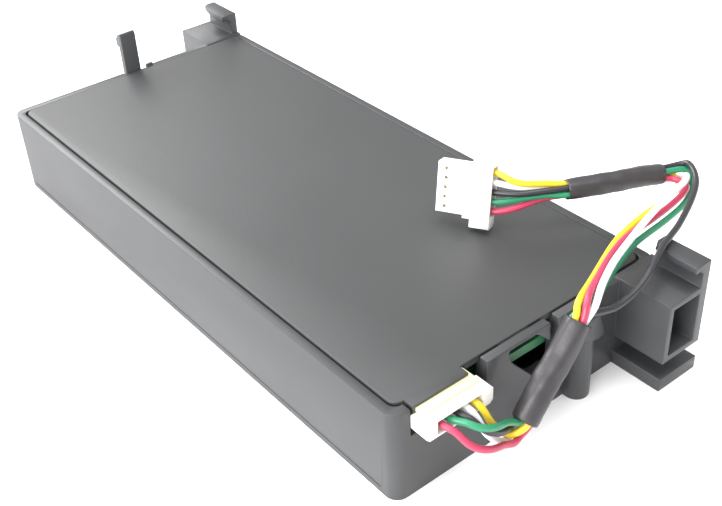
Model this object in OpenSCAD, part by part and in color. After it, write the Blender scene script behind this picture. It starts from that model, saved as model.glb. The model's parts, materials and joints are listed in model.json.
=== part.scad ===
// Battery module for a server RAID card: a flat moulded tray with a snap-in lid, a lithium-ion
// cell and a small circuit board inside, rail hooks at both ends, and a short five-wire harness
// plugged into the near end. Millimetres. X runs across, Y along the body, Z up. The origin is
// the centre of the tray's flat bottom, and the near end is at -Y.

/* [Body] */
// Length of the tray between its two end walls' outer faces
body_l = 110.4; // [104:0.2:116]
// Width of the tray
body_w = 51; // [50:0.5:54]
// Height of the tray's rim
rim_h = 15.4; // [15.4:0.1:16.4]
// Radius of the tray's upright corners
corner_r = 2; // [1:0.25:3]
// Thickness of the walls below the lid
wall_t = 2.2; // [1.8:0.1:2.4]
// Thickness of the rim beside the lid
rim_t = 1.4; // [1.2:0.1:1.6]
// Thickness of the floor
floor_t = 1.6; // [1.2:0.1:1.8]
// Thickness of the lid
lid_t = 1.2; // [1:0.1:1.4]
// Gap between the lid's edge and the rim
lid_gap = 0.3; // [0.2:0.05:0.4]

/* [Rail hooks] */
// How far the hooks, sockets and feet stand out from the end walls
hook_reach = 8.9; // [6:0.1:12]
// Width of each socket and foot
socket_w = 8.2; // [7:0.1:10]
// Height of the socket's underside
socket_z = 5.2; // [4:0.1:6]
// Wall of the socket
socket_t = 1; // [0.8:0.1:1.2]
// Thickness of the upright hook plate
plate_t = 1.5; // [1.2:0.1:2]
// Height of the hook's top
hook_h = 19.8; // [19:0.1:22]
// Width of the hook's lip
lip_w = 3.3; // [2.5:0.1:5]
// Thickness of the hook's lip
lip_t = 1; // [0.8:0.1:1.4]
// Thickness of the foot
foot_t = 2.2; // [1.6:0.1:3]

/* [Snap arm] */
// Width of the snap arm at the far end
arm_w = 3.2; // [3:0.1:4]
// Height of the snap arm's top
arm_h = 23.5; // [20:0.1:26]
// Thickness of the snap arm
arm_t = 1.3; // [1:0.1:1.8]
// How far its barb stands out
barb = 0.9; // [0.5:0.1:1.4]

/* [Cell] */
// Width of the lithium-ion cell
cell_w = 34; // [30:0.5:36]
// Length of the cell
cell_l = 50; // [46:0.5:52]
// Thickness of the cell
cell_t = 10.4; // [9:0.1:10.6]

/* [Harness] */
// Outer diameter of each wire
wire_d = 1; // [0.8:0.05:1]
// Spacing of the wires in the plugs
pitch = 1.5; // [1.45:0.05:1.6]
// Outer diameter of the sleeve below the wires' upper loop
low_sleeve_d = 4; // [3.6:0.1:4.2]
// Outer diameter of the sleeve nearer the loose plug
high_sleeve_d = 3.4; // [3.3:0.1:3.8]

/* [Hidden] */
$fn = 48;
eps = 0.01;                          // small overlap that joins two solids of one moulding

near_y = -body_l / 2;                // outer face of the near end wall
half_w = body_w / 2;                 // outer face of the long walls
in_x = half_w - wall_t;              // inner face of the long walls
in_y = body_l / 2 - wall_t;          // inner face of the end walls
arm_x = 0.2;                         // middle of the snap arm
lid_top = rim_h + 0.2;
lid_z = lid_top - lid_t;             // the lid's underside, and the ledge that it lies on
lid_x = half_w - rim_t - lid_gap;    // the lid's long edges
lid_y = body_l / 2 - rim_t - lid_gap;
socket_x = half_w - socket_w;        // left face of the sockets and feet

header_x = -16.8;                    // middle of the wire connector
header_w = 9.6;
header_h = 4;
header_z = lid_top - 0.5 - header_h; // underside of the header, and top of the circuit board
header_front = near_y - 1.5;
header_back = near_y + 6.5;
wire_z = header_z + 2;               // height of the wires' axes in the header
tab_w = 9.6;                         // width of the lid's tab over the header

board_t = 1.6;
board_back = near_y + 47.5;
board_front = near_y + 2.5;
post_x = half_w - 5;                 // the posts under the board, by pairs
post_back = board_back - 3.5;
post_front = board_front + 2.5;

cell_front = board_back + 4.5;
cell_z = floor_t + 0.6;
tab_z = header_z;                    // the tabs lie on the board's top
tab_thick = 0.2;

// Plug: its own frame has the wires leaving at -Y and the mating end at +Y
plug_w = 11.5;
plug_body_w = 7.9;
plug_l = 8.7;
plug_y = near_y - 3.1;               // cable side of the plug on the board's header
loose_at = [13.6, near_y + 22, lid_top + 6.1];
loose_turn = [0, -73.4, 27.4];       // stands on one ear, leaning back by 16.6 degrees
loose_roll = 1.7;                    // and rocked towards its mating end

// Harness routes. Every point is [across, along from the near end wall, up].
// Middle line of each sleeve
low_line = [[-7.8, -5.9, 8.2], [-5.4, -5.7, 10.9], [-3.2, -5.4, 12.9], [-0.5, -5.1, 15.2],
  [2.8, -4.8, 18.8]];
high_line = [[37.2, 9.2, 20.7], [34, 10.7, 21], [30, 12, 21.3], [26, 13.5, 21.5], [22.2, 15.3, 21.5]];
bundle_r = 0.9;                      // the five wires lie on a ring of this radius in a sleeve
bundle_turn = 72;                    // and twist by one place on their way through

// From the plug on the board to the low sleeve
low_red = [[-19.1, -4.5, 12.6], [-18.4, -6.1, 11.3], [-17.2, -7, 10.2], [-15.2, -7.3, 9],
  [-12.6, -6.8, 7.6], [-10.5, -6.6, 6.4], [-9, -6.2, 6.3]];
low_green = [[-17.5, -4.6, 13.3], [-16.5, -6, 12.8], [-15.2, -6.7, 12.3], [-13.4, -6.7, 11.5],
  [-11.5, -6, 10.3], [-9.9, -5.7, 9.2]];
low_black = [[-16.3, -4.3, 12.9], [-15.8, -5.5, 12.1], [-14.8, -6.1, 11], [-13.1, -6.2, 9.7],
  [-11.2, -5.8, 8.7], [-9.6, -5.1, 8]];
low_white = [[-15, -4.2, 12.1], [-14.5, -5.1, 10.2], [-13.5, -5.5, 8.6], [-11.9, -5.5, 6.8],
  [-10.4, -5.3, 6], [-9.2, -5.1, 6.5]];
low_yellow = [[-13.5, -3.8, 12.3], [-12.9, -4.5, 10.5], [-11.8, -4.6, 8.7], [-10.9, -4.7, 7.6],
  [-10.4, -5.3, 7.1], [-9.7, -5.9, 7.1]];

// From the low sleeve, round the upper loop, to the high sleeve
high_red = [[3.8, -5.1, 20.9], [5.6, -4, 21.5], [10.5, -1.6, 21], [15.2, 0.6, 20.4],
  [20.3, 2, 20.5], [26.4, 2.5, 20.4], [32.7, 3.3, 20.3], [36.7, 4.3, 20.3], [38.2, 5.6, 20.2],
  [38.1, 7.6, 20.2]];
high_green = [[4.9, -4.3, 19.9], [6.5, -4.3, 19.7], [10.8, -2.2, 19.1], [16.4, -0.1, 19],
  [21.6, 1.3, 19.2], [27.7, 1.9, 19.2], [34, 2.9, 19], [38.3, 4.4, 18.9], [40, 5.7, 19.1],
  [40.7, 6.2, 19.8], [40.8, 7.4, 20.9]];
high_black = [[5.3, -4.7, 18.6], [9.2, -5.4, 17.8], [13.8, -5.5, 18.6], [17.8, -4.7, 19.8],
  [22.5, -2.8, 20.5], [27.6, -1.3, 20.6], [33.6, 1.1, 21], [37.9, 3.4, 21.3], [40.3, 5.7, 21.6],
  [41, 7.4, 21.9], [40.7, 8.5, 21.4]];
high_white = [[5.1, -5.5, 20.5], [7.6, -4.3, 21.8], [12.5, -2.1, 22.1], [18.5, -0.1, 22.1],
  [24.5, 1.7, 22.1], [30.7, 3.3, 22], [36.1, 4.4, 21.8], [38.4, 5.5, 21.4], [39.8, 6.7, 20.5],
  [40.1, 7.9, 19.6], [39.4, 8.6, 19]];
high_yellow = [[3.2, -4.1, 20.7], [4.8, -3.4, 21.2], [9.5, -1.1, 20.1], [14.7, 1.3, 19.5],
  [19.8, 3.1, 19.8], [25.2, 3.9, 20.3], [31, 4.3, 20.5], [35.4, 5.3, 20.2], [37.9, 6, 19.2],
  [38.8, 6.9, 19.2], [39, 8.5, 20.2]];

// From the high sleeve to the loose plug
fan_red = [[19.2, 17.5, 20.2], [15.5, 19, 19.5]];
fan_green = [[19.2, 16.7, 21.2], [16.1, 19.2, 20.7]];
fan_black = [[18.6, 16.6, 22.2], [15.9, 18.8, 21.9]];
fan_white = [[19.1, 17.7, 21.9], [15.9, 20.1, 22.6]];
fan_yellow = [[19.6, 17.2, 22.9], [17, 18.6, 23.3], [15.5, 20, 23.8]];

// ---- Small helpers ----

// Upright slab with rounded corners, from z0 to z1
module slab(wx, ly, z0, z1, r) {
  translate([0, 0, z0]) linear_extrude(z1 - z0) {
    square([wx - 2 * r, ly], center = true);
    square([wx, ly - 2 * r], center = true);
    for (sx = [-1, 1], sy = [-1, 1]) translate([sx * (wx / 2 - r), sy * (ly / 2 - r)]) circle(r);
  }
}

// Box between two corners
module block(low, high) {
  translate(low) cube(high - low);
}

// Flat shape in X and Z, given as [x, z] points, extruded along Y from y0 to y1
module upright(points, y0, y1) {
  translate([0, y1, 0]) rotate([90, 0, 0]) linear_extrude(y1 - y0) polygon(points);
}

// Flat shape in Y and Z, given as [y, z] points, extruded along X from x0 to x1
module profile(points, x0, x1) {
  translate([x0, 0, 0]) rotate([90, 0, 90]) linear_extrude(x1 - x0) polygon(points);
}

function unit(v) = v / norm(v);
function along(points, i) =
  unit(points[min(i + 1, len(points) - 1)] - points[max(i - 1, 0)]);
// Direction square to t that is nearest to ref
function square_to(t, ref) = unit(ref - (ref * t) * t);
function from_near_end(points) = [for (p = points) [p[0], near_y + p[1], p[2]]];

// Twice as many points, on a curve that runs smoothly through the given ones
function smooth(points) = let (n = len(points)) [for (i = [0:n - 1]) each i == n - 1 ? [points[i]] :
  [points[i], (9 * (points[i] + points[i + 1]) - points[max(i - 1, 0)]
    - points[min(i + 2, n - 1)]) / 16]];

// Tube swept along points: ring i lies at points[i], square to the line there
module tube(points, r, sides) {
  n = len(points);
  rings = [for (i = [0:n - 1]) let (t = along(points, i), u = square_to(t, [0.35, 0.2, 1]),
    v = cross(t, u)) for (k = [0:sides - 1])
      points[i] + r * (cos(360 * k / sides) * u + sin(360 * k / sides) * v)];
  walls = [for (i = [0:n - 2], k = [0:sides - 1]) let (a = i * sides + k,
    b = i * sides + (k + 1) % sides) each [[a, b + sides, b], [a, a + sides, b + sides]]];
  start_cap = [for (k = [0:sides - 1]) k];
  end_cap = [for (k = [sides - 1:-1:0]) (n - 1) * sides + k];
  polyhedron(rings, concat(walls, [start_cap], [end_cap]), convexity = 6);
}

// Route of one wire's place in a bundle: on a ring round the bundle's line, from angle start,
// turning by turn over the line's length. The angle is 0 in front and 90 towards ref.
function in_bundle(points, ref, start, turn) = [for (i = [0:len(points) - 1])
  let (t = along(points, i), up = square_to(t, ref), front = cross(t, up),
    a = start + turn * i / (len(points) - 1))
  points[i] + bundle_r * (cos(a) * front + sin(a) * up)];

// A point in the loose plug's own frame, in the part's frame
function turned(place) = let (b = loose_turn[1], c = loose_turn[2], a = loose_roll,
  p = [place[0] * cos(a) - place[1] * sin(a), place[0] * sin(a) + place[1] * cos(a), place[2]],
  q = [p[0] * cos(b) + p[2] * sin(b), p[1], p[2] * cos(b) - p[0] * sin(b)])
  loose_at + [q[0] * cos(c) - q[1] * sin(c), q[0] * sin(c) + q[1] * cos(c), q[2]];

// Whole route of the wire in one place of the plugs, counted from -2 to 2
function route(place, low, low_angle, high, high_angle, fan) = concat(
  [[header_x + place * pitch, near_y + 0.1, wire_z],
    [header_x + place * pitch, near_y - 2.8, wire_z]],
  from_near_end(low),
  in_bundle(from_near_end(low_line), [-1, 0, 0.7], low_angle, bundle_turn),
  from_near_end(high),
  in_bundle(from_near_end(high_line), [0, 0, 1], high_angle, bundle_turn),
  from_near_end(fan),
  [turned([place * pitch, -0.4, 0]), turned([place * pitch, 3.2, 0])]);

// ---- Tray and lid ----

// Socket, hook plate and foot at the near right corner; the far end has their mirror image
module rail_end() {
  y0 = near_y - hook_reach;
  y1 = near_y + 1;
  plate_x = half_w - plate_t;
  difference() {
    block([socket_x, y0, socket_z], [half_w, y1, lid_top]);
    block([socket_x + socket_t, y0 - 1, socket_z + socket_t],
      [plate_x, near_y - 0.4, lid_top - socket_t]);
  }
  block([socket_x, y0, 0], [half_w, y1, foot_t]);
}

// Upright plate on a socket, with its lip: both ends have the same one, so it isn't mirrored
module hook(y0, y1) {
  plate_x = half_w - plate_t;
  lip_x = half_w - lip_w;
  block([plate_x, y0, lid_top - eps], [half_w, y1, hook_h]);
  translate([0, 0, hook_h - lip_t]) linear_extrude(lip_t) polygon([[lip_x, y0], [half_w, y0],
    [half_w, y1], [half_w - 1.7, y1], [half_w - 2.6, y1 - 0.5], [lip_x, y1 - 3.6]]);
  block([plate_x - 0.5, y0, hook_h - lip_t - 0.5], [plate_x + eps, y1, hook_h - lip_t + eps]);
}

// Upright rib with a round nose and a tapered head that keeps the harness beside it
module cable_guide() {
  block([6.6, near_y - 0.7, 0], [10.6, near_y + eps, rim_h - 0.4]);
  translate([8.6, near_y - 0.7, 0]) cylinder(h = rim_h - 0.4, r = 2);
  upright([[7.6, rim_h - 0.4], [6.3, 12.6], [7.3, 11.3], [9.7, 10.6], [11, 10.8], [10.6, 12.6],
    [9.6, rim_h - 0.4]], near_y - 3, near_y - 2);
}

// Snap arm outside the far end wall's rim
module snap_arm() {
  y = body_l / 2 - 0.5;
  profile([[y, 4], [y + 0.5, 4], [y + arm_t, 6], [y + arm_t, arm_h - 2.9],
    [y + arm_t + barb, arm_h - 2.7], [y + arm_t + barb, arm_h - 1.3], [y + arm_t - 0.2, arm_h - 0.2],
    [y + arm_t - 0.6, arm_h], [y + 0.3, arm_h], [y, arm_h - 0.4]], arm_x - arm_w / 2, arm_x + arm_w / 2);
}

// Opening in the near end wall beside the connector, under a thin bridge
module latch_window() {
  upright([[-5, 14.9], [-5, 13.8], [-4.3, 12.3], [-0.1, 7.6], [1, 7], [4.6, 7], [4.6, rim_h + 1],
    [2.9, rim_h + 1], [3, 12.3], [0.5, 14.7], [0.2, 14.9]], near_y - 1, near_y + wall_t + 1);
}

module housing() {
  color("#3a3a3c") difference() {
    union() {
      difference() {
        slab(body_w, body_l, 0, rim_h, corner_r);
        slab(2 * in_x, 2 * in_y, floor_t, rim_h + 1, 1);
        slab(2 * (half_w - rim_t), body_l - 2 * rim_t, lid_z, rim_h + 1, 1.4);
        // Shadow line above the foot of each long wall
        for (s = [-1, 1]) block([s * half_w - 0.2, near_y + 3, 1], [s * half_w + 0.2, -near_y - 3, 1.3]);
        // Pockets that take the lid's barbs
        for (s = [-1, 1], y = [-28, 28])
          block([s * (in_x + 0.3) - 0.5, y - 5, 11], [s * (in_x + 0.3) + 0.5, y + 5, 12.6]);
        // Pocket that frees the snap arm, with the rim's inner half left standing
        block([arm_x - arm_w / 2 - 0.5, body_l / 2 - 0.8, 5], [arm_x + arm_w / 2 + 1.3,
          body_l / 2 + 1, rim_h + 1]);
        latch_window();
        // Window for the connector, open at the top under the lid's tab
        block([header_x - 5.8, near_y - 1, header_z - 0.3], [-9.1, in_y * -1 + 1, rim_h + 1]);
      }
      rail_end();
      mirror([0, 1, 0]) rail_end();
      hook(near_y - hook_reach, near_y - 0.9);
      hook(body_l / 2 - eps, body_l / 2 + hook_reach - 0.6);
      // Small stops on the far wall beside the snap arm and at the corner
      block([arm_x + arm_w / 2 + 1.3, body_l / 2 - 0.6, rim_h - 1], [arm_x + arm_w / 2 + 2.7, body_l / 2,
        rim_h + 0.4]);
      cable_guide();
      snap_arm();
      // Posts under the circuit board
      for (s = [-1, 1]) translate([s * post_x, post_back, 1]) cylinder(h = header_z - board_t - 1, r = 2.6);
      for (s = [-1, 1]) block([s * post_x - 2, post_front - 2, 1], [s * post_x + 2, post_front + 2,
        header_z - board_t]);
      // Ribs that hold the cell
      for (y = [cell_front - 3.6, cell_front + cell_l + 0.3])
        block([-in_x - eps, y, 1], [in_x + eps, y + 1.2, 8]);
      for (s = [-1, 1], y = [cell_front + 10, cell_front + cell_l - 12])
        block([s * (in_x + cell_w / 2 + 0.3) / 2 - (in_x - cell_w / 2 - 0.3) / 2 - eps, y, 1],
          [s * (in_x + cell_w / 2 + 0.3) / 2 + (in_x - cell_w / 2 - 0.3) / 2 + eps, y + 1.2, 8]);
    }
    // Screw holes in the back posts
    for (s = [-1, 1]) translate([s * post_x, post_back, 3]) cylinder(h = 20, r = 0.9);
  }
}

module lid() {
  color("#37383a") difference() {
    union() {
      slab(2 * lid_x, 2 * lid_y, lid_z, lid_top, 1.6);
      block([header_x - 0.5 - tab_w / 2, near_y, lid_z], [header_x - 0.5 + tab_w / 2, -lid_y + 1, lid_top]);
      // Tongues with barbs for the tray's pockets
      for (s = [-1, 1], y = [-28, 28]) {
        block([s * (in_x - 0.7) - 0.5, y - 4, 11.2], [s * (in_x - 0.7) + 0.5, y + 4, lid_z + eps]);
        block([s * (in_x - 0.2) - 0.4, y - 4, 11.2], [s * (in_x - 0.2) + 0.4, y + 4, 12.3]);
      }
    }
    // Relief over the header
    block([header_x - header_w / 2 - 0.3, near_y - 1, lid_z - 1],
      [header_x + header_w / 2 + 0.3, header_back + 0.3, header_z + header_h + 0.05]);
  }
}

// ---- Cell and its fittings ----

module cell() {
  color("#b9bcc0") translate([0, cell_front, cell_z]) difference() {
    translate([0, cell_l, 0]) rotate([90, 0, 0]) linear_extrude(cell_l) {
      r = 3;
      translate([-cell_w / 2 + r, 0]) square([cell_w - 2 * r, cell_t]);
      translate([-cell_w / 2, r]) square([cell_w, cell_t - 2 * r]);
      for (x = [-cell_w / 2 + r, cell_w / 2 - r], z = [r, cell_t - r]) translate([x, z]) circle(r);
    }
    // Vent score on the terminal end
    block([6, -1, cell_t / 2 - 0.4], [11, 0.2, cell_t / 2 + 0.4]);
  }
}

module cell_terminal() {
  color("#c9c9c4") block([-3, cell_front - 1, cell_z + cell_t / 2 - 1.3],
    [3, cell_front, cell_z + cell_t / 2 + 1.3]);
}

module cell_insulator() {
  color("#7d8a5a") difference() {
    block([-15, cell_front - 0.5, cell_z + 1.2], [15, cell_front - 0.2, cell_z + cell_t - 1.2]);
    block([-3.4, cell_front - 1, cell_z + cell_t / 2 - 1.7], [3.4, cell_front + 1,
      cell_z + cell_t / 2 + 1.7]);
    block([-13.5, cell_front - 1, cell_z + 3], [-8.5, cell_front + 1, cell_z + cell_t]);
  }
}

// Nickel strip: up the cell's end at y, then along the top of the circuit board
module tab_strip(x0, x1, y, z0) {
  profile([[y, z0], [y, tab_z + tab_thick], [board_back - 4, tab_z + tab_thick],
    [board_back - 4, tab_z], [y - tab_thick, tab_z], [y - tab_thick, z0]], x0, x1);
}

module negative_tab() {
  color("#cfd0cc") tab_strip(-2, 2, cell_front - 1, cell_z + cell_t / 2 - 1);
}

module positive_tab() {
  color("#cfd0cc") tab_strip(-13, -9, cell_front, cell_z + cell_t / 2 - 1.5);
}

module foam_pad() {
  color("#2c2d30") block([-14, cell_front + 5, cell_z + cell_t], [14, cell_front + cell_l - 5, lid_z - 0.05]);
}

module adhesive_pad() {
  color("#e6e2d4") block([-14, cell_front + 5, floor_t], [14, cell_front + cell_l - 5, cell_z]);
}

// ---- Circuit board and what is on it ----

module circuit_board() {
  color("#2f6b45") difference() {
    block([-in_x + 0.5, board_front, header_z - board_t], [in_x - 0.5, board_back, header_z]);
    for (s = [-1, 1]) translate([s * post_x, post_back, 0]) cylinder(h = 30, r = 1.2);
  }
}

module board_screws() {
  color("#8f9297") for (s = [-1, 1]) translate([s * post_x, post_back, 0]) {
    translate([0, 0, 4.5]) cylinder(h = header_z - 4.5 + eps, r = 0.86);
    difference() {
      translate([0, 0, header_z]) cylinder(h = 1.3, r = 1.9);
      for (a = [0, 90]) translate([0, 0, header_z + 1]) rotate([0, 0, a])
        cube([2.2, 0.5, 1], center = true);
    }
  }
}

// Chip with its body and two rows of legs, on the board
module leaded_chip(x, y, w, l, legs, leg_pitch) {
  translate([x, y, header_z]) {
    translate([-w / 2, -l / 2, 0.15]) cube([w, l, 1.1]);
    for (s = [-1, 1], i = [0:legs - 1])
      translate([s * (w / 2 + 0.4) - 0.5, (i - (legs - 1) / 2) * leg_pitch - 0.15, 0]) cube([1, 0.3, 0.3]);
  }
}

module gauge_chip() {
  color("#26272a") leaded_chip(4, near_y + 19, 4.4, 7.8, 12, 0.65);
}

module charger_chip() {
  color("#26272a") translate([-8, near_y + 20, header_z]) translate([-2.5, -2.5, 0]) cube([5, 5, 0.9]);
}

module mosfets() {
  color("#26272a") for (y = [26, 34]) leaded_chip(-8, near_y + y + 3, 3.9, 4.9, 4, 1.27);
}

module inductor() {
  color("#4a4745") translate([14, near_y + 16, header_z]) difference() {
    translate([-3.1, -3.1, 0]) cube([6.2, 6.2, 2.8]);
    translate([0, 0, 2.3]) cylinder(h = 1, r = 1.9);
  }
}

module sense_resistor() {
  color("#303235") translate([2, near_y + 30, header_z]) translate([-3.2, -1.6, 0]) cube([6.4, 3.2, 0.6]);
}

module fuse() {
  color("#3d5a4a") translate([-16.5, near_y + 34, header_z]) translate([-2.2, -3.7, 0])
    cube([4.4, 7.4, 0.9]);
}

module capacitors() {
  color("#a8876a") for (i = [0:3]) translate([8.5 + 3 * i, near_y + 27, header_z])
    translate([-0.8, -1.6, 0]) cube([1.6, 3.2, 1.4]);
}

module resistors() {
  color("#2b2b2d") for (i = [0:7]) translate([-4 + 2.4 * i, near_y + 37, header_z])
    translate([-0.4, -0.8, 0]) cube([0.8, 1.6, 0.45]);
}

module thermistor() {
  color("#1f2a44") translate([10, board_back - 3, header_z]) {
    translate([0, 0, 0.8]) rotate([-90, 0, 0]) cylinder(h = 3.4, r = 0.8, center = true);
    for (y = [-1, 1]) translate([-0.2, y - 0.2, 0]) cube([0.4, 0.4, 0.8]);
  }
}

// ---- Connectors ----

module header_shell() {
  color("#d9d6a6") difference() {
    block([header_x - header_w / 2, header_front, header_z], [header_x + header_w / 2, header_back,
      header_z + header_h]);
    // Mouth for the plug
    block([header_x - plug_body_w / 2 - 0.1, header_front - 1, header_z + 0.7],
      [header_x + plug_body_w / 2 + 0.1, header_back - 0.8, header_z + header_h - 0.7]);
    // Slot for the plug's polarising step
    block([header_x - plug_body_w / 2 - 0.7, header_front - 1, wire_z - 1], [header_x, near_y + 1.5,
      wire_z + 1]);
    // Side slots for the plug's ears
    block([header_x - header_w, header_front - 1, header_z + 0.75],
      [header_x + header_w, header_front + 1.9, header_z + header_h - 0.75]);
    // Pin holes through the back
    for (i = [-2:2]) translate([header_x + i * pitch, 0, wire_z]) block([-0.25, header_back - 2, -0.25],
      [0.25, header_back + 1, 0.25]);
  }
}

module header_pins() {
  color("#d0b060") for (i = [-2:2]) profile([[header_back - 4.2, wire_z - 0.25],
    [header_back + 0.2, wire_z - 0.25], [header_back + 0.2, header_z], [header_back + 1.4, header_z],
    [header_back + 1.4, header_z + 0.3], [header_back + 0.7, header_z + 0.3],
    [header_back + 0.7, wire_z + 0.25], [header_back - 4.2, wire_z + 0.25]],
    header_x + i * pitch - 0.25, header_x + i * pitch + 0.25);
}

// Five-way plug shell in its own frame
module plug_shell() {
  difference() {
    union() {
      difference() {
        block([-plug_w / 2, 0, -1.35], [plug_w / 2, 3.2, 1.65]);
        // Thinner steps behind the ears
        for (z = [-2.35, 1.2]) block([-plug_w, 1.6, z], [plug_w, 4, z + 1.15]);
        for (s = [-1, 1], z = [-1.35, 1.65]) translate([s * plug_w / 2, 0, z]) rotate([0, 45, 0])
          cube([0.7, 20, 0.7], center = true);
      }
      block([-plug_body_w / 2, 1.6 - eps, -1.2], [plug_body_w / 2, plug_l, 1.2]);
      // Polarising step on the first wire's side
      block([-plug_body_w / 2 - 0.6, 3.2 - eps, -0.9], [0, 4.5, 0.9]);
    }
    // Recess that the wires leave
    block([-3.9, -1, -1.05], [3.9, 1, 1.2]);
    for (i = [-2:2]) translate([i * pitch, 0, 0]) {
      rotate([-90, 0, 0]) cylinder(h = 4, r = wire_d / 2 + 0.12);
      block([-0.5, 3.3, -0.55], [0.5, plug_l + 1, 0.55]);
      block([-0.35, 2, 0.7], [0.35, 2.8, 3]);
      block([-0.25, 7, 0], [0.25, 7.6, 3]);
    }
  }
}

// Five crimp contacts in the plug's own frame, each a box sprung round its pin
module plug_contacts() {
  for (i = [-2:2]) difference() {
    block([i * pitch - 0.45, 3.4, -0.5], [i * pitch + 0.45, 8.1, 0.5]);
    block([i * pitch - 0.27, 4.2, -0.27], [i * pitch + 0.27, 9, 0.27]);
  }
}

module board_plug() {
  color("#e4e3df") translate([header_x, plug_y, wire_z]) plug_shell();
}

module board_plug_contacts() {
  color("#c9b27a") translate([header_x, plug_y, wire_z]) plug_contacts();
}

module loose_plug() {
  color("#e4e3df") translate(loose_at) rotate(loose_turn) rotate(loose_roll) plug_shell();
}

module loose_plug_contacts() {
  color("#c9b27a") translate(loose_at) rotate(loose_turn) rotate(loose_roll) plug_contacts();
}

// ---- Harness ----

module wire(points) {
  tube(smooth(points), wire_d / 2, 8);
}

module wire_red() {
  color("#b03a5c") wire(route(-2, low_red, -54, high_red, 201, fan_red));
}

module wire_green() {
  color("#2e8a60") wire(route(-1, low_green, 90, high_green, 129, fan_green));
}

module wire_black() {
  color("#2c2c30") wire(route(0, low_black, 162, high_black, 57, fan_black));
}

module wire_white() {
  color("#ecebf0") wire(route(1, low_white, -126, high_white, 273, fan_white));
}

module wire_yellow() {
  color("#e0c832") wire(route(2, low_yellow, 18, high_yellow, -15, fan_yellow));
}

// Heat-shrunk sleeve round the bundle
module sleeve(points, d, bore) {
  n = len(points);
  longer = concat([points[0] - 0.5 * along(points, 0)], points, [points[n - 1] + 0.5 * along(points, n - 1)]);
  difference() {
    tube(points, d / 2, 16);
    tube(longer, bore / 2, 16);
  }
}

module low_sleeve() {
  color("#363437") sleeve(from_near_end(low_line), low_sleeve_d, 3.2);
}

module high_sleeve() {
  color("#363437") sleeve(from_near_end(high_line), high_sleeve_d, 3);
}

housing();
lid();
cell();
cell_terminal();
cell_insulator();
negative_tab();
positive_tab();
foam_pad();
adhesive_pad();
circuit_board();
board_screws();
gauge_chip();
charger_chip();
mosfets();
inductor();
sense_resistor();
fuse();
capacitors();
resistors();
thermistor();
header_shell();
header_pins();
board_plug();
board_plug_contacts();
loose_plug();
loose_plug_contacts();
wire_red();
wire_green();
wire_black();
wire_white();
wire_yellow();
low_sleeve();
high_sleeve();
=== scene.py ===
import json
import math

import bmesh
import bpy
import numpy as np
from mathutils import Matrix, Vector


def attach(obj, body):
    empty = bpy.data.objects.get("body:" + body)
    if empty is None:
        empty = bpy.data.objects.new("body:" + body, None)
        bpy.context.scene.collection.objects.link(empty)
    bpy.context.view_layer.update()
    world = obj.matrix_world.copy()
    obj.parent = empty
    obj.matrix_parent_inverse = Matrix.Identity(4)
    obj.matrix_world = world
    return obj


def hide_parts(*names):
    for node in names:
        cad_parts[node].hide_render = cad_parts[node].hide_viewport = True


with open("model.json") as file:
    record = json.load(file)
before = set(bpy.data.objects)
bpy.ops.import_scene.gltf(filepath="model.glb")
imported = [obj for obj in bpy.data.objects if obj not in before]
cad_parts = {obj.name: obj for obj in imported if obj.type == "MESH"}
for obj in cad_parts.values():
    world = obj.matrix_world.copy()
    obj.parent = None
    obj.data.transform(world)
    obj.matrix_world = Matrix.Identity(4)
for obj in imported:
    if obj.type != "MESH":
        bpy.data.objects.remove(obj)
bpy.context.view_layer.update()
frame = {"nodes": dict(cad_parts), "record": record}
mm = 0.001
scene = bpy.context.scene

# Camera: stands in front of the near left corner and looks down along the tray.
cameraValues = {
    "eye": (-87.9, -132.6, 112.1),
    "right": (0.7754, -0.6299, -0.0442),
    "up": (0.3945, 0.4286, 0.8128),
    "lens": 55.1,
    "sensor": 36.0,
}


# Turns the camera by its right and up directions, and looks along minus their cross product.
def makeCamera(values):
    data = bpy.data.cameras.new("camera")
    data.lens = values["lens"]
    data.sensor_width = values["sensor"]
    data.sensor_fit = "HORIZONTAL"
    data.clip_start = 0.01
    camera = bpy.data.objects.new("camera", data)
    scene.collection.objects.link(camera)
    right = Vector(values["right"]).normalized()
    up = Vector(values["up"])
    up = (up - up.dot(right) * right).normalized()
    back = right.cross(up)
    turn = Matrix((right, up, back)).transposed().to_4x4()
    camera.matrix_world = Matrix.Translation(Vector(values["eye"]) * mm) @ turn
    scene.camera = camera


makeCamera(cameraValues)
print("camera placed")

# Harness. Points are in millimetres: across, along from the near end wall, up.
harness = {
    "wireDiameter": 1.0,
    "pitch": 1.5,
    "bundleRadius": 0.9,
    "bundleTurn": 72.0,
    "nearWall": -55.2,
    "headerX": -16.8,
    "wireZ": 13.1,
    "inHeader": (0.1, -2.8),            # where a wire ends in the board plug, and where it leaves
    "inLoosePlug": (-0.4, 3.2),         # where it reaches the loose plug, and where it ends
    "looseAt": (13.6, -33.2, 21.7),     # middle of the loose plug's cable side
    "looseTurn": (-73.4, 27.4),         # its lean about Y, then its turn about Z
    "looseRoll": 1.7,                   # its roll on its own flat face, before both
    "around": 16,                       # points round each ring of a wire
}
lowLine = [
    (-7.8, -5.9, 8.2), (-5.4, -5.7, 10.9), (-3.2, -5.4, 12.9), (-0.5, -5.1, 15.2),
    (2.8, -4.8, 18.8),
]
highLine = [
    (37.2, 9.2, 20.7), (34, 10.7, 21), (30, 12, 21.3), (26, 13.5, 21.5), (22.2, 15.3, 21.5),
]
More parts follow.
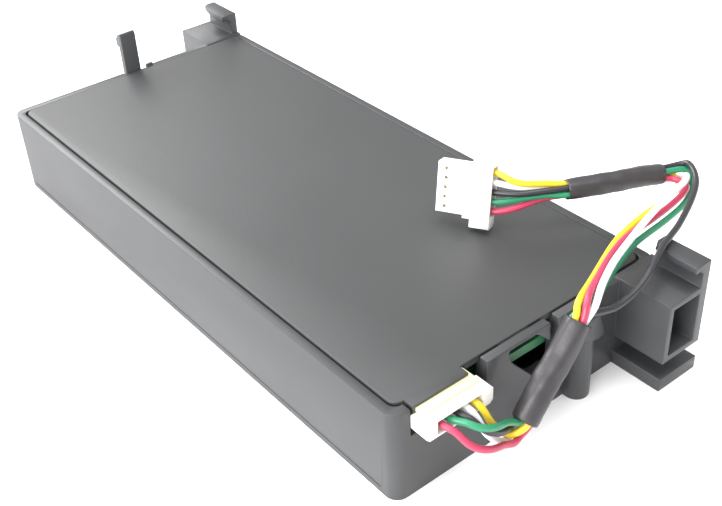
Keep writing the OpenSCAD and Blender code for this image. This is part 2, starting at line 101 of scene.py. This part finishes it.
routes = {
    "red": {
        "low": [
            (-19.1, -4.5, 12.6), (-18.4, -6.1, 11.3), (-17.2, -7, 10.2), (-15.2, -7.3, 9),
            (-12.6, -6.8, 7.6), (-10.5, -6.6, 6.4), (-9, -6.2, 6.3),
        ],
        "high": [
            (3.8, -5.1, 20.9), (5.6, -4, 21.5), (10.5, -1.6, 21), (15.2, 0.6, 20.4),
            (20.3, 2, 20.5), (26.4, 2.5, 20.4), (32.7, 3.3, 20.3), (36.7, 4.3, 20.3),
            (38.2, 5.6, 20.2), (38.1, 7.6, 20.2),
        ],
        "fan": [
            (19.2, 17.5, 20.2), (15.5, 19, 19.5),
        ],
    },
    "green": {
        "low": [
            (-17.5, -4.6, 13.3), (-16.5, -6, 12.8), (-15.2, -6.7, 12.3), (-13.4, -6.7, 11.5),
            (-11.5, -6, 10.3), (-9.9, -5.7, 9.2),
        ],
        "high": [
            (4.9, -4.3, 19.9), (6.5, -4.3, 19.7), (10.8, -2.2, 19.1), (16.4, -0.1, 19),
            (21.6, 1.3, 19.2), (27.7, 1.9, 19.2), (34, 2.9, 19), (38.3, 4.4, 18.9),
            (40, 5.7, 19.1), (40.7, 6.2, 19.8), (40.8, 7.4, 20.9),
        ],
        "fan": [
            (19.2, 16.7, 21.2), (16.1, 19.2, 20.7),
        ],
    },
    "black": {
        "low": [
            (-16.3, -4.3, 12.9), (-15.8, -5.5, 12.1), (-14.8, -6.1, 11), (-13.1, -6.2, 9.7),
            (-11.2, -5.8, 8.7), (-9.6, -5.1, 8),
        ],
        "high": [
            (5.3, -4.7, 18.6), (9.2, -5.4, 17.8), (13.8, -5.5, 18.6), (17.8, -4.7, 19.8),
            (22.5, -2.8, 20.5), (27.6, -1.3, 20.6), (33.6, 1.1, 21), (37.9, 3.4, 21.3),
            (40.3, 5.7, 21.6), (41, 7.4, 21.9), (40.7, 8.5, 21.4),
        ],
        "fan": [
            (18.6, 16.6, 22.2), (15.9, 18.8, 21.9),
        ],
    },
    "white": {
        "low": [
            (-15, -4.2, 12.1), (-14.5, -5.1, 10.2), (-13.5, -5.5, 8.6), (-11.9, -5.5, 6.8),
            (-10.4, -5.3, 6), (-9.2, -5.1, 6.5),
        ],
        "high": [
            (5.1, -5.5, 20.5), (7.6, -4.3, 21.8), (12.5, -2.1, 22.1), (18.5, -0.1, 22.1),
            (24.5, 1.7, 22.1), (30.7, 3.3, 22), (36.1, 4.4, 21.8), (38.4, 5.5, 21.4),
            (39.8, 6.7, 20.5), (40.1, 7.9, 19.6), (39.4, 8.6, 19),
        ],
        "fan": [
            (19.1, 17.7, 21.9), (15.9, 20.1, 22.6),
        ],
    },
    "yellow": {
        "low": [
            (-13.5, -3.8, 12.3), (-12.9, -4.5, 10.5), (-11.8, -4.6, 8.7), (-10.9, -4.7, 7.6),
            (-10.4, -5.3, 7.1), (-9.7, -5.9, 7.1),
        ],
        "high": [
            (3.2, -4.1, 20.7), (4.8, -3.4, 21.2), (9.5, -1.1, 20.1), (14.7, 1.3, 19.5),
            (19.8, 3.1, 19.8), (25.2, 3.9, 20.3), (31, 4.3, 20.5), (35.4, 5.3, 20.2),
            (37.9, 6, 19.2), (38.8, 6.9, 19.2), (39, 8.5, 20.2),
        ],
        "fan": [
            (19.6, 17.2, 22.9), (17, 18.6, 23.3), (15.5, 20, 23.8),
        ],
    },
}

# Each wire's place in the plugs and its angles in the two sleeves, in degrees.
wires = {
    "red": {"place": -2, "lowAngle": -54, "highAngle": 201},
    "green": {"place": -1, "lowAngle": 90, "highAngle": 129},
    "black": {"place": 0, "lowAngle": 162, "highAngle": 57},
    "white": {"place": 1, "lowAngle": -126, "highAngle": 273},
    "yellow": {"place": 2, "lowAngle": 18, "highAngle": -15},
}


leftAndUp = np.array((-1, 0, 0.7))      # where angle 90 lies in the low sleeve
straightUp = np.array((0.0, 0.0, 1.0))  # and in the high sleeve


# A vector divided by its length.
def unit(v):
    return v / np.linalg.norm(v)


# Points counted from the near end wall, in the row's frame.
def fromNearEnd(points):
    return np.array(points, float) + (0, harness["nearWall"], 0)


# Direction at each point: from the point before it to the point after it.
def directions(points):
    ahead = np.vstack([points[1:], points[-1:]])
    behind = np.vstack([points[:1], points[:-1]])
    return (ahead - behind) / np.linalg.norm(ahead - behind, axis=1)[:, None]


# Inserts a point in each gap: (9 (b + c) - a - d) / 16 for neighbours a, b, c, d.
def smooth(points):
    before = np.vstack([points[:1], points[:-2]])
    after = np.vstack([points[2:], points[-1:]])
    middle = (9 * (points[:-1] + points[1:]) - before - after) / 16
    out = np.empty((2 * len(points) - 1, 3))
    out[0::2] = points
    out[1::2] = middle
    return out


# A place in a bundle: line point + radius (cos a front + sin a up), a growing along the line.
def inBundle(points, reference, start):
    tangents = directions(points)
    up = reference - (tangents @ reference)[:, None] * tangents
    up /= np.linalg.norm(up, axis=1)[:, None]
    front = np.cross(tangents, up)
    a = np.radians(start + harness["bundleTurn"] * np.linspace(0, 1, len(points)))[:, None]
    return points + harness["bundleRadius"] * (np.cos(a) * front + np.sin(a) * up)


# A point of the loose plug's own frame: rolled about Z, turned about Y, then about Z.
def turned(place):
    b, c = (math.radians(a) for a in harness["looseTurn"])
    a = math.radians(harness["looseRoll"])
    x = place[0] * math.cos(a) - place[1] * math.sin(a)
    y = place[0] * math.sin(a) + place[1] * math.cos(a)
    x, z = x * math.cos(b) + place[2] * math.sin(b), place[2] * math.cos(b) - x * math.sin(b)
    spun = (x * math.cos(c) - y * math.sin(c), x * math.sin(c) + y * math.cos(c), z)
    return np.array(harness["looseAt"]) + spun


# Whole route of one wire, from inside the plug on the board to inside the loose plug.
def wireRoute(colour):
    wire, part = wires[colour], routes[colour]
    across = wire["place"] * harness["pitch"]
    x = harness["headerX"] + across
    return np.vstack([
        [(x, harness["nearWall"] + y, harness["wireZ"]) for y in harness["inHeader"]],
        fromNearEnd(part["low"]),
        inBundle(fromNearEnd(lowLine), leftAndUp, wire["lowAngle"]),
        fromNearEnd(part["high"]),
        inBundle(fromNearEnd(highLine), straightUp, wire["highAngle"]),
        fromNearEnd(part["fan"]),
        [turned((across, y, 0)) for y in harness["inLoosePlug"]],
    ])


# Sideways and upward directions at each ring, carried along so that the tube doesn't twist.
def carriedFrames(points):
    tangents = directions(points)
    side = unit(np.cross(tangents[0], (0.35, 0.2, 1)))
    sides, ups = [], []
    for t in tangents:
        side = unit(side - np.dot(side, t) * t)
        sides.append(side)
        ups.append(np.cross(t, side))
    return np.array(sides), np.array(ups)


# Rings of a tube: point + radius (cos a side + sin a up). The radius is given per ring and angle.
def tubeRings(points, radii):
    sides, ups = carriedFrames(points)
    angles = np.linspace(0, 2 * math.pi, radii.shape[1], endpoint=False)
    ring = (np.cos(angles)[None, :, None] * sides[:, None]
            + np.sin(angles)[None, :, None] * ups[:, None])
    return points[:, None] + radii[:, :, None] * ring


# Quads between neighbouring rings of a grid with its columns closed into a loop.
def ringFaces(count, around, start=0):
    ring, k = np.meshgrid(np.arange(count - 1), np.arange(around), indexing="ij")
    a = start + ring * around + k
    b = start + ring * around + (k + 1) % around
    return np.stack([a, b, b + around, a + around], -1).reshape(-1, 4).tolist()


# Mesh object from points and faces, with its normals turned outward, shaded smooth.
def meshPiece(name, points, faces):
    data = bpy.data.meshes.new(name)
    data.from_pydata([tuple(p) for p in points], [], faces)
    grid = bmesh.new()
    grid.from_mesh(data)
    bmesh.ops.recalc_face_normals(grid, faces=grid.faces)
    grid.to_mesh(data)
    grid.free()
    data.polygons.foreach_set("use_smooth", [True] * len(data.polygons))
    piece = bpy.data.objects.new(name, data)
    scene.collection.objects.link(piece)
    return piece


# Wire: its route with three more points in each gap, a circle at each point, and two end caps.
def makeWire(colour):
    around = harness["around"]
    path = smooth(smooth(wireRoute(colour))) * mm
    radii = np.full((len(path), around), harness["wireDiameter"] / 2 * mm)
    points = tubeRings(path, radii).reshape(-1, 3)
    faces = ringFaces(len(path), around)
    faces.append(tuple(range(around)))
    faces.append(tuple(range(len(points) - 1, len(points) - around - 1, -1)))
    return meshPiece(colour + "Wire", points, faces), path


# Sleeve: the shrunk tube follows the five wires, so its outside has five soft lobes that
# twist with them, a few cross ripples, and ends drawn in round the wires.
sleeves = {
    "lowSleeve": {"node": "low_sleeve", "line": lowLine, "outer": 4.0, "bore": 3.2},
    "highSleeve": {"node": "high_sleeve", "line": highLine, "outer": 3.4, "bore": 3.0},
}
# Millimetres, apart from the counts and the ends' length, which is a share of the sleeve's.
sleeveShape = {
    "shrink": 0.06, "lobe": 0.05, "wires": 5, "ripple": 0.035, "rippleTurns": 31.0,
    "rippleLean": 1.5, "drawIn": 0.10, "endLength": 0.05, "around": 48,
}


# Outer radius = outer / 2 - shrink + lobe cos(5 (a - turn s)) + ripple sin(31 s + lean cos a)
# sin(pi s) - the draw-in at each end, for s along the sleeve and a round it.
def makeSleeve(name, values):
    shape = sleeveShape
    path = smooth(smooth(smooth(fromNearEnd(values["line"]))))
    count, around = len(path), shape["around"]
    s = np.linspace(0, 1, count)[:, None]
    a = np.linspace(0, 2 * math.pi, around, endpoint=False)[None]
    turn = math.radians(harness["bundleTurn"])
    lobes = shape["lobe"] * np.cos(shape["wires"] * (a - turn * s))
    ripples = shape["ripple"] * np.sin(
        shape["rippleTurns"] * s + shape["rippleLean"] * np.cos(a)) * np.sin(math.pi * s)
    ends = -shape["drawIn"] * (
        np.exp(-s / shape["endLength"]) + np.exp(-(1 - s) / shape["endLength"]))
    radii = values["outer"] / 2 - shape["shrink"] + lobes + ripples + ends
    outside = tubeRings(path, radii)
    inside = tubeRings(path, np.full((count, around), values["bore"] / 2))
    points = np.vstack([outside.reshape(-1, 3), inside.reshape(-1, 3)]) * mm
    total = count * around
    faces = ringFaces(count, around) + ringFaces(count, around, total)
    k = np.arange(around)
    for row in (0, count - 1):  # the two ends, from the outside to the bore
        first, second = row * around + k, row * around + (k + 1) % around
        faces += np.stack([first, second, total + second, total + first], -1).tolist()
    return meshPiece(name, points, faces)


surfaceValues = {
    "grainDetail": 3, "cloudDetail": 5,   # octaves of the two noises
    "cloudRoughness": 0.16, "grainRoughness": 0.1,
    "edgeSamples": 6,
}


# Surface group: fine grain and broad cloudiness on Object coordinates, and softened edges.
# Colour = base x (1 + spread (cloud - 0.5)).
# Roughness = base + 0.16 (cloud - 0.5) + 0.1 (grain - 0.5).
def makeSurfaceGroup():
    group = bpy.data.node_groups.new("mouldedSurface", "ShaderNodeTree")
    sockets = [
        ("Base Color", "NodeSocketColor"), ("Roughness", "NodeSocketFloat"),
        ("Grain Scale", "NodeSocketFloat"), ("Grain Depth", "NodeSocketFloat"),
        ("Cloud Scale", "NodeSocketFloat"), ("Spread", "NodeSocketFloat"),
        ("Stretch", "NodeSocketVector"), ("Edge Radius", "NodeSocketFloat"),
    ]
    for name, kind in sockets:
        group.interface.new_socket(name, in_out="INPUT", socket_type=kind)
    for name, kind in (("Color", "NodeSocketColor"), ("Roughness", "NodeSocketFloat"),
                       ("Normal", "NodeSocketVector")):
        group.interface.new_socket(name, in_out="OUTPUT", socket_type=kind)
    nodes, links = group.nodes, group.links
    given, result = nodes.new("NodeGroupInput"), nodes.new("NodeGroupOutput")
    place = nodes.new("ShaderNodeTexCoord")
    stretch = nodes.new("ShaderNodeVectorMath")
    stretch.operation = "MULTIPLY"
    links.new(place.outputs["Object"], stretch.inputs[0])
    links.new(given.outputs["Stretch"], stretch.inputs[1])
    grain, cloud = nodes.new("ShaderNodeTexNoise"), nodes.new("ShaderNodeTexNoise")
    for noise, scale, detail in ((grain, "Grain Scale", "grainDetail"),
                                 (cloud, "Cloud Scale", "cloudDetail")):
        noise.inputs["Detail"].default_value = surfaceValues[detail]
        links.new(stretch.outputs[0], noise.inputs["Vector"])
        links.new(given.outputs[scale], noise.inputs["Scale"])

    # a x b + c, with each a socket or a number
    def madd(a, b, c):
        node = nodes.new("ShaderNodeMath")
        node.operation = "MULTIPLY_ADD"
        for socket, value in zip(node.inputs, (a, b, c)):
            if isinstance(value, (int, float)):
                socket.default_value = value
            else:
                links.new(value, socket)
        return node.outputs[0]

    centred = madd(cloud.outputs["Fac"], 1.0, -0.5)
    factor = madd(centred, given.outputs["Spread"], 1.0)
    tint = nodes.new("ShaderNodeVectorMath")
    tint.operation = "SCALE"
    links.new(given.outputs["Base Color"], tint.inputs[0])
    links.new(factor, tint.inputs["Scale"])
    links.new(tint.outputs[0], result.inputs["Color"])
    rough = madd(centred, surfaceValues["cloudRoughness"], given.outputs["Roughness"])
    grainCentred = madd(grain.outputs["Fac"], 1.0, -0.5)
    rough = madd(grainCentred, surfaceValues["grainRoughness"], rough)
    links.new(rough, result.inputs["Roughness"])
    edge = nodes.new("ShaderNodeBevel")
    edge.samples = surfaceValues["edgeSamples"]
    links.new(given.outputs["Edge Radius"], edge.inputs["Radius"])
    bump = nodes.new("ShaderNodeBump")
    bump.inputs["Strength"].default_value = 1.0
    links.new(grain.outputs["Fac"], bump.inputs["Height"])
    links.new(given.outputs["Grain Depth"], bump.inputs["Distance"])
    links.new(edge.outputs["Normal"], bump.inputs["Normal"])
    links.new(bump.outputs["Normal"], result.inputs["Normal"])
    return group


surfaceGroup = makeSurfaceGroup()

# Finishes: base colour, roughness, grain (per metre and depth in metres), cloud scale, spread,
# softened edge in metres, and then what only some of them have.
finishValues = {
    "tray": {
        "color": (0.036, 0.037, 0.040), "rough": 0.42, "grain": 5200, "depth": 2.2e-5,
        "cloud": 55, "spread": 0.3, "edge": 2.2e-4,
    },
    "lid": {
        "color": (0.040, 0.041, 0.042), "rough": 0.50, "grain": 6500, "depth": 2.6e-5,
        "cloud": 38, "spread": 0.25, "edge": 1.5e-4,
    },
    "cell_can": {
        "color": (0.62, 0.63, 0.65), "rough": 0.30, "grain": 900, "depth": 6e-6, "cloud": 60,
        "spread": 0.1, "metal": 1.0, "stretch": (1, 0.05, 1),
    },
    "steel": {
        "color": (0.55, 0.55, 0.56), "rough": 0.28, "grain": 3000, "depth": 5e-6, "cloud": 300,
        "spread": 0.15, "metal": 1.0,
    },
    "insulator": {
        "color": (0.28, 0.34, 0.17), "rough": 0.7, "grain": 2500, "depth": 2e-5, "cloud": 300,
        "spread": 0.3,
    },
    "nickel": {
        "color": (0.60, 0.59, 0.55), "rough": 0.32, "grain": 2500, "depth": 5e-6, "cloud": 200,
        "spread": 0.15, "metal": 1.0, "stretch": (1, 0.1, 1),
    },
    "foam": {
        "color": (0.03, 0.03, 0.034), "rough": 0.9, "grain": 2600, "depth": 1.2e-4, "cloud": 120,
        "spread": 0.4,
    },
    "tape": {
        "color": (0.74, 0.70, 0.58), "rough": 0.65, "grain": 1500, "depth": 3e-5, "cloud": 100,
        "spread": 0.12,
    },
    "board": {
        "color": (0.035, 0.16, 0.07), "rough": 0.35, "grain": 700, "depth": 1.5e-5, "cloud": 160,
        "spread": 0.5, "stretch": (1, 0.25, 1),
    },
    "chip": {
        "color": (0.02, 0.02, 0.022), "rough": 0.55, "grain": 9000, "depth": 1.5e-5,
        "cloud": 400, "spread": 0.25,
    },
    "ferrite": {
        "color": (0.06, 0.055, 0.05), "rough": 0.6, "grain": 5000, "depth": 3e-5, "cloud": 300,
        "spread": 0.3,
    },
    "fuse": {
        "color": (0.05, 0.13, 0.09), "rough": 0.45, "grain": 4000, "depth": 1e-5, "cloud": 300,
        "spread": 0.3,
    },
    "ceramic": {
        "color": (0.36, 0.25, 0.15), "rough": 0.5, "grain": 6000, "depth": 1e-5, "cloud": 500,
        "spread": 0.3,
    },
    "thermistor": {
        "color": (0.015, 0.03, 0.09), "rough": 0.2, "grain": 2500, "depth": 2e-5, "cloud": 500,
        "spread": 0.3,
    },
    "header_nylon": {
        "color": (0.70, 0.67, 0.40), "rough": 0.38, "grain": 4000, "depth": 8e-6, "cloud": 260,
        "spread": 0.14, "edge": 1.2e-4, "soft": 0.25,
    },
    "plug_nylon": {
        "color": (0.80, 0.79, 0.765), "rough": 0.40, "grain": 4500, "depth": 8e-6, "cloud": 260,
        "spread": 0.08, "edge": 1.2e-4, "soft": 0.3,
    },
    "contact": {
        "color": (0.62, 0.50, 0.28), "rough": 0.3, "grain": 4000, "depth": 5e-6, "cloud": 600,
        "spread": 0.2, "metal": 1.0,
    },
    "insulation_red": {
        "color": (0.44, 0.035, 0.085), "rough": 0.34, "grain": 3800, "depth": 7e-6, "cloud": 420,
        "spread": 0.16,
    },
    "insulation_green": {
        "color": (0.02, 0.21, 0.10), "rough": 0.34, "grain": 3800, "depth": 7e-6, "cloud": 420,
        "spread": 0.16,
    },
    "insulation_black": {
        "color": (0.022, 0.022, 0.026), "rough": 0.32, "grain": 3800, "depth": 7e-6,
        "cloud": 420, "spread": 0.2,
    },
    "insulation_white": {
        "color": (0.79, 0.79, 0.83), "rough": 0.36, "grain": 3800, "depth": 7e-6, "cloud": 420,
        "spread": 0.06, "soft": 0.15,
    },
    "insulation_yellow": {
        "color": (0.74, 0.53, 0.02), "rough": 0.34, "grain": 3800, "depth": 7e-6, "cloud": 420,
        "spread": 0.12,
    },
    "heat_shrink": {
        "color": (0.030, 0.027, 0.030), "rough": 0.44, "grain": 2400, "depth": 3.5e-5,
        "cloud": 260, "spread": 0.35,
    },
}
plainEdge = 5e-5                      # softened edge, in metres, where a finish gives none
skinRadii = (0.6, 0.55, 0.5)          # how far red, green and blue light travel in nylon
skinScale = 0.0006                    # times this, in metres


# Material: a Principled BSDF with its colour, roughness and normal from the surface group.
def makeFinish(name, v):
    material = bpy.data.materials.new(name)
    material.use_nodes = True
    nodes, links = material.node_tree.nodes, material.node_tree.links
    shader = nodes["Principled BSDF"]
    surface = nodes.new("ShaderNodeGroup")
    surface.node_tree = surfaceGroup
    surface.inputs["Base Color"].default_value = (*v["color"], 1)
    surface.inputs["Roughness"].default_value = v["rough"]
    surface.inputs["Grain Scale"].default_value = v["grain"]
    surface.inputs["Grain Depth"].default_value = v["depth"]
    surface.inputs["Cloud Scale"].default_value = v["cloud"]
    surface.inputs["Spread"].default_value = v["spread"]
    surface.inputs["Stretch"].default_value = v.get("stretch", (1, 1, 1))
    surface.inputs["Edge Radius"].default_value = v.get("edge", plainEdge)
    shader.inputs["Metallic"].default_value = v.get("metal", 0.0)
    shader.inputs["Subsurface Weight"].default_value = v.get("soft", 0.0)
    shader.inputs["Subsurface Radius"].default_value = skinRadii
    shader.inputs["Subsurface Scale"].default_value = skinScale
    links.new(surface.outputs["Color"], shader.inputs["Base Color"])
    links.new(surface.outputs["Roughness"], shader.inputs["Roughness"])
    links.new(surface.outputs["Normal"], shader.inputs["Normal"])
    return material


finishes = {name: makeFinish(name, values) for name, values in finishValues.items()}
slotOf = {part["node"]: part["material_slot"] for part in frame["record"]["subparts"]}


# Gives a new piece its finish, slot and body, and hides the CAD nodes that it stands for.
def dress(piece, slotName, *nodes):
    piece.data.materials.clear()
    piece.data.materials.append(finishes[slotName])
    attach(piece, "root")
    if nodes:
        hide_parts(*nodes)


for colour in wires:
    wire, path = makeWire(colour)
    dress(wire, "insulation_" + colour, "wire_" + colour)
for name, values in sleeves.items():
    dress(makeSleeve(name, values), "heat_shrink", values["node"])
print("harness made")

# Moulded pieces: the CAD solid with its outer edges rounded.
mouldings = {
    "trayMoulding": {"node": "housing", "radius": 0.22},
    "lidMoulding": {"node": "lid", "radius": 0.15},
    "headerMoulding": {"node": "header_shell", "radius": 0.12},
    "boardPlugMoulding": {"node": "board_plug", "radius": 0.10},
    "loosePlugMoulding": {"node": "loose_plug", "radius": 0.10},
}
mouldingEdges = {
    "merge": 2e-6,                      # seams closer than this are one, in metres
    "flat": 1, "round": 40, "sharp": 35,  # degrees: joined below, rounded above, shaded sharp above
    "segments": 2,
}


# Copy of a CAD solid: seams merged, flat areas joined, edges sharper than 40 degrees rounded.
def makeMoulding(name, values):
    source = frame["nodes"][values["node"]]
    data = source.data.copy()
    data.name = name
    grid = bmesh.new()
    grid.from_mesh(data)
    bmesh.ops.remove_doubles(grid, verts=grid.verts, dist=mouldingEdges["merge"])
    bmesh.ops.dissolve_limit(
        grid, angle_limit=math.radians(mouldingEdges["flat"]), verts=grid.verts, edges=grid.edges)
    bmesh.ops.recalc_face_normals(grid, faces=grid.faces)
    grid.to_mesh(data)
    grid.free()
    piece = bpy.data.objects.new(name, data)
    scene.collection.objects.link(piece)
    bevel = piece.modifiers.new("edges", "BEVEL")
    bevel.width = values["radius"] * mm
    bevel.segments = mouldingEdges["segments"]
    bevel.limit_method = "ANGLE"
    bevel.angle_limit = math.radians(mouldingEdges["round"])
    bevel.use_clamp_overlap = True
    bpy.context.view_layer.update()
    depsgraph = bpy.context.evaluated_depsgraph_get()
    final = bpy.data.meshes.new_from_object(piece.evaluated_get(depsgraph))
    piece.modifiers.clear()
    piece.data = final
    final.shade_smooth()
    final.set_sharp_from_angle(angle=math.radians(mouldingEdges["sharp"]))
    dress(piece, slotOf[values["node"]], values["node"])
    return piece


for name, values in mouldings.items():
    piece = makeMoulding(name, values)
    print(name, len(piece.data.polygons), "faces")

# The rest of the CAD nodes keep their shape and take their finish.
for name, node in frame["nodes"].items():
    if node.hide_render:
        continue
    node.data.materials.clear()
    node.data.materials.append(finishes[slotOf[name]])
print("finishes set")

# Floor's side in metres, its tone and roughness, and the room's strength.
stageValues = {"floor": 3.0, "floorTone": 0.92, "floorRoughness": 0.9, "world": 0.85}


# Pale floor under the object and an even white room round it.
def makeStage(values):
    half = values["floor"] / 2
    corners = [(-half, -half, 0), (half, -half, 0), (half, half, 0), (-half, half, 0)]
    floor = meshPiece("floor", corners, [(0, 1, 2, 3)])
    material = bpy.data.materials.new("paper")
    material.use_nodes = True
    shader = material.node_tree.nodes["Principled BSDF"]
    shader.inputs["Base Color"].default_value = (values["floorTone"],) * 3 + (1,)
    shader.inputs["Roughness"].default_value = values["floorRoughness"]
    floor.data.materials.append(material)
    world = bpy.data.worlds.new("studio")
    world.use_nodes = True
    world.node_tree.nodes["Background"].inputs["Color"].default_value = (1, 1, 1, 1)
    world.node_tree.nodes["Background"].inputs["Strength"].default_value = values["world"]
    scene.world = world


makeStage(stageValues)

# Lamps: place and target in metres, width and height in metres, watts.
lamps = {
    "leftSoftbox": {
        "at": (-0.55, -0.10, 0.28), "to": (0, 0, 0.01), "size": (0.5, 0.4), "power": 7.0,
    },
    "backSoftbox": {
        "at": (-0.10, 0.65, 0.45), "to": (0, 0, 0.01), "size": (0.7, 0.4), "power": 9.0,
    },
    "topSoftbox": {
        "at": (0.0, -0.05, 0.70), "to": (0, 0, 0.01), "size": (0.5, 0.5), "power": 4.0,
    },
}
for name, values in lamps.items():
    data = bpy.data.lights.new(name, "AREA")
    data.shape = "RECTANGLE"
    data.size, data.size_y = values["size"]
    data.energy = values["power"]
    lamp = bpy.data.objects.new(name, data)
    scene.collection.objects.link(lamp)
    lamp.location = values["at"]
    aim = Vector(values["to"]) - Vector(values["at"])
    lamp.rotation_euler = aim.to_track_quat("-Z", "Y").to_euler()
scene.view_settings.view_transform = "Standard"
print("stage set")
